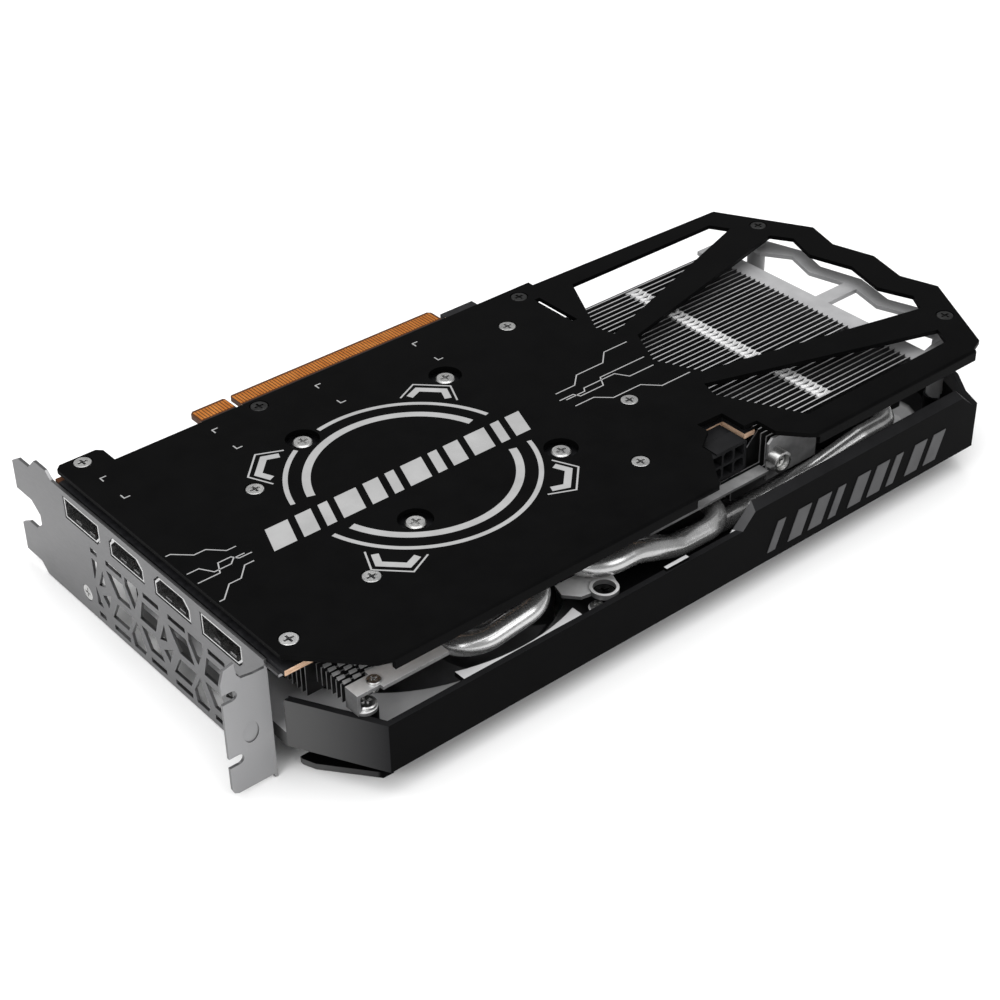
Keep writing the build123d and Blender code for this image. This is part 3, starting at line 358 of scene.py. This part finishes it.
def frame_finish():
    """Cooler frames with painted light: light flat tops near the bracket, darker sides, and a duller
    top sheet towards the tail.
    """
    made = Finish("frame_steel", metallic=0.4)
    made.bevel(0.12)
    cloud = made.noise(3.6, detail=3.0)
    fine = made.noise(0.3, (9, 1, 1))
    # Painted light on the flat tops near the bracket, and painted shade on the sides.
    pale = made.shades(cloud, grey(0.8), grey(0.92))
    dull = made.shades(cloud, (0.24, 0.24, 0.243), (0.36, 0.36, 0.363))
    side = made.shades(cloud, (0.12, 0.12, 0.122), (0.19, 0.19, 0.192))
    top = made.mix(made.along("X", 100, 110), pale, dull)
    made.colour(made.mix(made.facing("Z", 0.4, 0.6), side, top))
    made.rough(fine, (0.32, 0.44))
    made.bump(fine, 0.004)
    return made


def fin_finish():
    """Painted light on the upper edges of the fins and on edges towards the bracket, with painted
    shade on the flanks between them.
    """
    made = Finish("fin_aluminium", metallic=0.8)
    made.bevel(0.04)
    cloud = made.noise(6.0, (4, 1, 1))
    fine = made.noise(0.5, (8, 1, 1))
    # Painted highlight for the fin edges, and painted shade for their flanks.
    bright = made.shades(cloud, (0.56, 0.56, 0.57), (0.74, 0.74, 0.75))
    dull = made.shades(cloud, (0.035, 0.035, 0.036), (0.08, 0.08, 0.082))
    side = made.mix(made.facing("X", -0.4, -0.6), dull, bright)
    made.colour(made.mix(made.facing("Z", 0.4, 0.6), side, bright))
    made.rough(fine, (0.3, 0.42))
    made.bump(fine, 0.003)
    return made


def build_finishes():
    """Material of each slot of the record, and of the print."""
    finishes = [
        bracket_finish(),
        metal("screw_steel", grey(0.42), (0.62, 0.62, 0.61), (0.24, 0.4), grain=0.25, depth=0.006),
        metal("port_shell", grey(0.42), grey(0.6), (0.22, 0.36), grain=0.3, depth=0.003),
        plastic("port_plastic", (0.008, 0.008, 0.009), (0.016, 0.016, 0.017), (0.4, 0.55), edge=0.1),
        board_finish(),
        metal(
            "gold", (0.68, 0.22, 0.035), (0.86, 0.33, 0.07), (0.3, 0.44), grain=0.4,
            stretch=(1, 6, 1), depth=0.003, edge=0.03,
        ),
        plastic("chip_carrier", (0.02, 0.06, 0.03), (0.035, 0.09, 0.05), (0.3, 0.45), edge=0.05),
        plastic(
            "silicon", (0.05, 0.05, 0.07), (0.09, 0.09, 0.12), (0.06, 0.14), specular=0.8,
            depth=0.001, edge=0.03,
        ),
        plastic("chip_black", grey(0.012), grey(0.024), (0.5, 0.65), edge=0.08),
        plastic("thermal_pad", (0.24, 0.26, 0.3), (0.34, 0.36, 0.4), (0.7, 0.85), depth=0.03),
        plastic("inductor_grey", (0.05, 0.05, 0.052), grey(0.1), (0.45, 0.6), depth=0.03),
        metal("can_aluminium", grey(0.5), grey(0.7), (0.25, 0.4), grain=0.3),
        plastic("header_white", (0.6, 0.58, 0.52), (0.72, 0.7, 0.64), (0.4, 0.5), edge=0.1),
        plastic(
            "connector_black", (0.006, 0.006, 0.0065), (0.012, 0.012, 0.013), (0.4, 0.55),
            specular=0.1, edge=0.12,
        ),
        metal("pin_tin", (0.5, 0.48, 0.44), (0.7, 0.68, 0.62), (0.2, 0.35), grain=0.2),
        plastic(
            "backplate_black", (0.0016, 0.0016, 0.0017), (0.0027, 0.0027, 0.0028), (0.4, 0.5),
            specular=0.02, grain=0.18, depth=0.006, edge=0.18,
        ),
        metal("screw_dark", grey(0.025), grey(0.06), (0.3, 0.45), grain=0.2),
        metal("spring_steel", grey(0.35), grey(0.55), (0.25, 0.4), grain=0.2),
        metal(
            "pipe_nickel", grey(0.4), grey(0.56), (0.2, 0.3), grain=1.6, depth=0.004, edge=0.05,
            metallic=0.85,
        ),
        fin_finish(),
        metal(
            "band_bright", grey(0.66), grey(0.86), (0.3, 0.42), grain=0.4, depth=0.006, metallic=0.4,
        ),
        metal("cold_plate_nickel", (0.45, 0.42, 0.38), (0.6, 0.56, 0.52), (0.2, 0.34), grain=0.4),
        frame_finish(),
        shroud_finish(),
        plastic("tail_grey", (0.28, 0.28, 0.285), (0.38, 0.38, 0.385), (0.32, 0.46), specular=0.4),
        plastic(
            "accent_grey", (0.058, 0.058, 0.06), (0.084, 0.084, 0.086), (0.34, 0.46),
            specular=0.1, edge=0.06,
        ),
        metal("bearing_brass", (0.4, 0.25, 0.1), (0.6, 0.4, 0.18), (0.3, 0.45), grain=0.2),
        metal(
            "winding_copper", (0.3, 0.12, 0.05), (0.5, 0.22, 0.1), (0.3, 0.5), grain=0.2, depth=0.03,
        ),
        plastic(
            "fan_grey", (0.05, 0.05, 0.052), (0.085, 0.085, 0.088), (0.36, 0.48), specular=0.2,
            edge=0.3,
        ),
        metal("shaft_steel", grey(0.6), grey(0.75), (0.1, 0.2), grain=0.2),
        metal(
            "cap_dark", (0.05, 0.05, 0.052), (0.09, 0.09, 0.094), (0.2, 0.34), grain=0.3, depth=0.003,
        ),
        plastic("print_grey", grey(0.3), grey(0.36), (0.45, 0.6), depth=0.004, edge=0.01),
    ]
    return {finish.name: finish.material for finish in finishes}


FINISHES = build_finishes()


def paint(piece, material):
    """Give a piece one material."""
    piece.data.materials.clear()
    piece.data.materials.append(material)


def paint_nodes():
    """Give every CAD node the finish of its slot."""
    slots = {part["node"]: part["material_slot"] for part in frame["record"]["subparts"]}
    for name, node in frame["nodes"].items():
        paint(node, FINISHES[slots[name]])


# ---- outlines in X and Y -----------------------------------------------------------


def rectangle(x, y, half_x, half_y):
    """Outline of a rectangle about a point."""
    return [
        (x - half_x, y - half_y), (x + half_x, y - half_y),
        (x + half_x, y + half_y), (x - half_x, y + half_y),
    ]


def slanted_bar(x, y, width, height, slant):
    """Outline of a bar from its lower left corner, whose upper end is shifted along X."""
    return [(x, y), (x + width, y), (x + width + slant, y + height), (x + slant, y + height)]


def arc_band(centre, radius, width, start, stop, steps=72):
    """Outline of a curved band between two angles in degrees."""
    inner = []
    outer = []
    for index in range(steps + 1):
        angle = math.radians(start + (stop - start) * index / steps)
        direction = (math.cos(angle), math.sin(angle))
        for side, store in ((-0.5, inner), (0.5, outer)):
            reach = radius + side * width
            store.append((centre[0] + direction[0] * reach, centre[1] + direction[1] * reach))
    return outer + inner[::-1]


def stroke(points, width):
    """Outline of a mitred line of constant width through points."""
    left = []
    right = []
    last = len(points) - 1
    for index, point in enumerate(points):
        here = Vector(point)
        before = (here - Vector(points[index - 1])).normalized() if index else None
        after = (Vector(points[index + 1]) - here).normalized() if index < last else None
        before = before or after
        after = after or before
        middle = (before + after).normalized()
        side = Vector((-middle.y, middle.x))
        reach = width / 2 / middle.dot(after)
        left.append(tuple(here + side * reach))
        right.append(tuple(here - side * reach))
    return right + left[::-1]


# ---- pieces ------------------------------------------------------------------------


def add_piece(name, mesh, material, body="card"):
    """Link a mesh built in the row frame as a piece that rides on a body."""
    piece = bpy.data.objects.new(name, mesh)
    bpy.context.scene.collection.objects.link(piece)
    paint(piece, FINISHES[material])
    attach(piece, body)
    return piece


def plate_mesh(name, outlines, bottom, top):
    """Flat plates on closed outlines, between two heights."""
    mesh = bpy.data.meshes.new(name)
    made = bmesh.new()
    for outline in outlines:
        low = [made.verts.new(at(x, y, bottom)) for x, y in outline]
        high = [made.verts.new(at(x, y, top)) for x, y in outline]
        made.faces.new(high)
        made.faces.new(low[::-1])
        count = len(outline)
        for index in range(count):
            follow = (index + 1) % count
            made.faces.new((low[index], low[follow], high[follow], high[index]))
    bmesh.ops.recalc_face_normals(made, faces=made.faces)
    made.to_mesh(mesh)
    made.free()
    return mesh


def add_plates(name, outlines, bottom, top, material, body="card"):
    """A piece of flat plates."""
    add_piece(name, plate_mesh(name, outlines, bottom, top), material, body)


def tube_mesh(name, paths, radius, sides=10):
    """Round tubes along lists of points, none of which runs straight up."""
    mesh = bpy.data.meshes.new(name)
    made = bmesh.new()
    for path in paths:
        points = [Vector(point) for point in path]
        rings = []
        for index, point in enumerate(points):
            ahead = points[min(index + 1, len(points) - 1)]
            behind = points[max(index - 1, 0)]
            along = (ahead - behind).normalized()
            side = along.cross(Vector((0, 0, 1))).normalized()
            other = along.cross(side)
            ring = []
            for step in range(sides):
                angle = 2 * math.pi * step / sides
                offset = side * math.cos(angle) + other * math.sin(angle)
                ring.append(made.verts.new(at(*(point + offset * radius))))
            rings.append(ring)
        for first, second in zip(rings, rings[1:]):
            for step in range(sides):
                follow = (step + 1) % sides
                made.faces.new((first[step], first[follow], second[follow], second[step]))
        made.faces.new(rings[0][::-1])
        made.faces.new(rings[-1])
    bmesh.ops.recalc_face_normals(made, faces=made.faces)
    for face in made.faces:
        face.smooth = len(face.verts) == 4
    made.to_mesh(mesh)
    made.free()
    return mesh


# ---- print on the backplate ----------------------------------------------------------


def add_print(name, outlines):
    """Thin printed marks lying on the backplate."""
    bottom, top = (corners("backplate")[1].z + lift for lift in PRINT_LIFT)
    add_plates(name, outlines, bottom, top, "print_grey")


def print_rings():
    """Two broken rings round the graphics chip; a screw hole cuts the outer one."""
    hole = (GPU[0] - SPRING_HALF - PRINT_CENTRE[0], GPU[1] + SPRING_HALF - PRINT_CENTRE[1])
    hole_at = math.degrees(math.atan2(hole[1], hole[0]))
    outlines = []
    for radius, width in RINGS:
        gap = math.degrees(math.asin(RING_BREAK / radius))
        spans = [(gap, 180 - gap), (180 + gap, 360 - gap)]
        if radius + SPRING_HOLE_R > math.hypot(*hole):
            cut = math.degrees(math.asin((SPRING_HOLE_R + HOLE_MARGIN) / radius))
            spans[:1] = [(gap, hole_at - cut), (hole_at + cut, 180 - gap)]
        for start, stop in spans:
            outlines.append(arc_band(PRINT_CENTRE, radius, width, start, stop))
    add_print("print_rings", outlines)


def print_bars():
    """Row of slanted bars across the rings."""
    outlines = []
    x = 24.0
    for width in BAR_WIDTHS:
        outlines.append(slanted_bar(x, 29.2, width, 9.2, 3.4))
        x += width + BAR_GAP
    add_print("print_bars", outlines)


def print_corners():
    """Bracket-shaped marks outside the rings, in the four corners."""
    thin = [(-19.7, 31.0), (-26.7, 34.3), (-34.1, 26.8), (-30.9, 19.8)]
    thick = [(-22.0, 29.8), (-26.0, 31.4), (-31.3, 26.1), (-29.6, 22.2)]
    outlines = []
    for side in (-1, 1):
        for end in (-1, 1):
            for points, width in ((thin, 0.5), (thick, 2.0)):
                moved = [(PRINT_CENTRE[0] - side * x, PRINT_CENTRE[1] + end * y) for x, y in points]
                outlines.append(stroke(moved, width))
    add_print("print_corners", outlines)


def print_circuits():
    """Stepped circuit lines at both ends of the printed row."""
    lines = [
        [(2.3, 45.3), (3.7, 45.3), (8.0, 41.2), (11.5, 41.2), (15.2, 37.4), (18.0, 37.4)],
        [(2.3, 35.6), (5.8, 35.6), (8.0, 32.0), (13.0, 32.0), (14.7, 33.6), (18.0, 33.6)],
        [(2.3, 30.7), (8.8, 30.7), (10.7, 34.5), (14.5, 34.5), (15.8, 32.7), (19.6, 32.7)],
        [(2.3, 21.2), (3.7, 21.2), (8.0, 25.5), (11.5, 25.5), (15.2, 29.4), (18.0, 29.4)],
        [(125.0, 38.1), (132.0, 38.1), (136.0, 41.8), (146.0, 41.8), (150.2, 45.9), (159.0, 45.9)],
        [(125.0, 29.9), (131.8, 29.9), (135.8, 26.2), (146.0, 26.2), (150.2, 21.9), (161.0, 21.9)],
        [(123.5, 34.8), (128.5, 34.8), (129.5, 32.8), (138.0, 32.8), (140.2, 36.5), (157.0, 36.5)],
        [(125.2, 33.9), (132.0, 33.9), (133.0, 35.3), (144.5, 35.3), (146.8, 31.5), (156.0, 31.5)],
    ]
    add_print("print_circuits", [stroke(points, 0.34) for points in lines])


def print_corner_marks():
    """Small corner marks in two rows."""
    arm = 1.8
    outlines = []
    for x in (8.0, 43.0, 77.5, 112.0):
        for y, turn in ((86.0, 1), (74.0, -1)):
            outlines.append(stroke([(x, y - arm * turn), (x, y), (x + arm, y)], 0.36))
    add_print("print_corner_marks", outlines)


# ---- details beyond the CAD ------------------------------------------------------------


def coil_springs():
    """Coil springs under the four screws of the cold plate."""
    turns = 1.75
    radius = 2.15
    wire_radius = 0.28
    seat = 0.3            # middle of the wire, from either end of the spring
    steps = 60
    low, high = (corner.z for corner in corners("gpu_springs"))
    paths = []
    for side in (-1, 1):
        for end in (-1, 1):
            path = []
            for step in range(steps + 1):
                angle = 2 * math.pi * turns * step / steps
                x = GPU[0] + side * SPRING_HALF + radius * math.cos(angle)
                y = GPU[1] + end * SPRING_HALF + radius * math.sin(angle)
                path.append((x, y, low + seat + (high - low - 2 * seat) * step / steps))
            paths.append(path)
    mesh = tube_mesh("coil_springs", paths, wire_radius)
    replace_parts(add_piece("coil_springs", mesh, "spring_steel"), "gpu_springs")


def port_contacts():
    """Rows of contacts on the tongues of the display ports."""
    count = 9
    margin = 0.9
    for name in PORTS:
        low, high = corners(name + "_tongue")
        pitch = (high.y - low.y - 2 * margin) / (count - 1)
        places = [low.y + margin + index * pitch for index in range(count)]
        outlines = [rectangle(8.1, y, 2.7, 0.3) for y in places]
        add_plates(name + "_contacts", outlines, high.z - 0.02, high.z + 0.06, "gold")


def port_springs():
    """Bright spring tongues on the lower wall inside each display port."""
    outlines = []
    for name in PORTS:
        low, high = corners(name + "_shell")
        for part in (0.3, 0.7):
            y = low.y + (high.y - low.y) * part
            outlines.append([(0.9, y - 1.3), (4.6, y - 0.8), (4.6, y + 0.8), (0.9, y + 1.3)])
    wall = corners("displayport_1_shell")[0].z + PORT_WALL
    add_plates("port_springs", outlines, wall + 0.05, wall + 0.35, "port_shell")


def screw_recess_painted_shade():
    """Painted shade: black sheets on the floor of the cross recesses of the backplate's silver screws,
    where the metal lies in shade.
    """
    floor = corners("backplate")[1].z - SCREW_SINK - SCREW_RECESS
    outlines = []
    for x, y in SILVER_SCREWS:
        outlines.append(rectangle(x, y, 1.3, 0.3))
        outlines.append(rectangle(x, y, 0.3, 1.3))
    # Painted shade in the recesses, in black plastic.
    add_plates("screw_recess_painted_shade", outlines, floor, floor + 0.04, "port_plastic")


def band_weave():
    """Slanted folds that meet in a point along the bright band over the tail fins."""
    pitch = 2.0
    low, high = corners("fin_band")
    near = low.x + 0.2
    far = high.x - 0.2
    middle = (near + far) / 2
    outlines = []
    for index in range(int((high.y - low.y) / pitch)):
        y = low.y + 0.1 + index * pitch
        outlines.append(stroke([(near, y + 1.3), (middle - 0.15, y + 0.3)], 0.5))
        outlines.append(stroke([(middle + 0.15, y + 0.3), (far, y + 1.3)], 0.5))
    add_plates("band_weave", outlines, high.z - 0.3, high.z + 0.12, "band_bright")


def fin_tabs():
    """Folded tabs along the tops of the foremost fins at the bracket end."""
    chance = random.Random(7)
    outlines = []
    for index in range(5):
        y = -10.6 + index * 2.0
        for x in (15.2, 18.4, 21.6):
            left = x + chance.uniform(-0.4, 0.4)
            outlines.append([(left, y), (left + 2.2, y), (left + 2.5, y + 1.1), (left + 0.4, y + 1.3)])
    add_plates("fin_tabs", outlines, FIN_TOP - 0.08, FIN_TOP + 0.06, "band_bright")


def underside_marks():
    """Slanted bars on the fan side, between the fans and along both edges."""
    outlines = [slanted_bar(x, 28.8, 2.0, 9.0, 3.0) for x in (105.5, 109.5, 113.5)]
    for y in (-9.4, 73.2):
        for index in range(4):
            outlines.append(slanted_bar(101.0 + index * 6.0, y, 3.6, 2.8, 1.2))
    add_plates("underside_marks", outlines, -0.03, 0.01, "accent_grey")


def hub_marks():
    """Ring of short bars on the cap of each fan hub."""
    count = 6
    for number, centre in enumerate(FAN_X, start=1):
        fan = "fan_%d" % number
        starts = [index * 360 / count for index in range(count)]
        outlines = [
            arc_band((centre, MID_Y), 9.4, 0.8, start, start + 38, steps=16) for start in starts
        ]
        cap = corners(fan + "_cap")[0].z
        add_plates(fan + "_marks", outlines, cap - 0.03, cap + 0.01, "accent_grey", body=fan)


# ---- stage ---------------------------------------------------------------------------


def make_floor():
    """Plain pale floor, a hair under the card."""
    half = 6.0
    drop = 0.0002
    mesh = bpy.data.meshes.new("floor")
    edge = [(-half, -half, 0), (half, -half, 0), (half, half, 0), (-half, half, 0)]
    mesh.from_pydata(edge, [], [(0, 1, 2, 3)])
    floor = bpy.data.objects.new("floor", mesh)
    floor.location.z = -drop
    bpy.context.scene.collection.objects.link(floor)
    made = Finish("floor", specular=0.1)
    cloud = made.noise(400.0)
    made.colour(made.shades(cloud, grey(0.93), grey(0.95)))
    made.rough(cloud, (0.8, 0.9), WHOLE)
    paint(floor, made.material)


def make_camera():
    """Camera at the photograph's viewpoint."""
    data = bpy.data.cameras.new("camera")
    data.lens = CAMERA_LENS
    data.sensor_width = SENSOR
    data.clip_start = 0.01
    data.clip_end = 20.0
    camera = bpy.data.objects.new("camera", data)
    camera.location = at(*CAMERA_AT)
    camera.rotation_euler = Euler([math.radians(turn) for turn in CAMERA_TURN])
    bpy.context.scene.collection.objects.link(camera)
    bpy.context.scene.camera = camera


def add_softbox(name, place, aim, size, power):
    """Area light at a place, turned to a point, both in metres of the row frame."""
    data = bpy.data.lights.new(name, "AREA")
    data.shape = "RECTANGLE"
    data.size = size[0]
    data.size_y = size[1]
    data.energy = power
    light = bpy.data.objects.new(name, data)
    light.location = place
    direction = Vector(aim) - Vector(place)
    light.rotation_euler = direction.to_track_quat("-Z", "Y").to_euler()
    bpy.context.scene.collection.objects.link(light)


def make_lights():
    """Soft studio light: an even white world and three softboxes."""
    world = bpy.data.worlds.new("studio")
    world.use_nodes = True
    background = world.node_tree.nodes["Background"]
    background.inputs["Color"].default_value = (1, 1, 1, 1)
    background.inputs["Strength"].default_value = 0.44
    bpy.context.scene.world = world
    add_softbox("overhead", (-0.1, 0.0, 1.5), (0, 0, 0), (2.4, 1.9), 30)
    add_softbox("left", (-1.1, -0.4, 0.7), (0, 0, 0.02), (0.7, 0.7), 6)
    add_softbox("front", (0.3, -1.2, 0.8), (0, 0, 0.02), (0.9, 0.5), 4.5)


# ---- build ---------------------------------------------------------------------------


def main():
    """Build everything on and round the card."""
    bpy.context.scene.view_settings.view_transform = "Standard"
    make_camera()
    make_floor()
    make_lights()
    paint_nodes()
    print_rings()
    print_bars()
    print_corners()
    print_circuits()
    print_corner_marks()
    coil_springs()
    port_contacts()
    port_springs()
    screw_recess_painted_shade()
    band_weave()
    fin_tabs()
    underside_marks()
    hub_marks()


main()
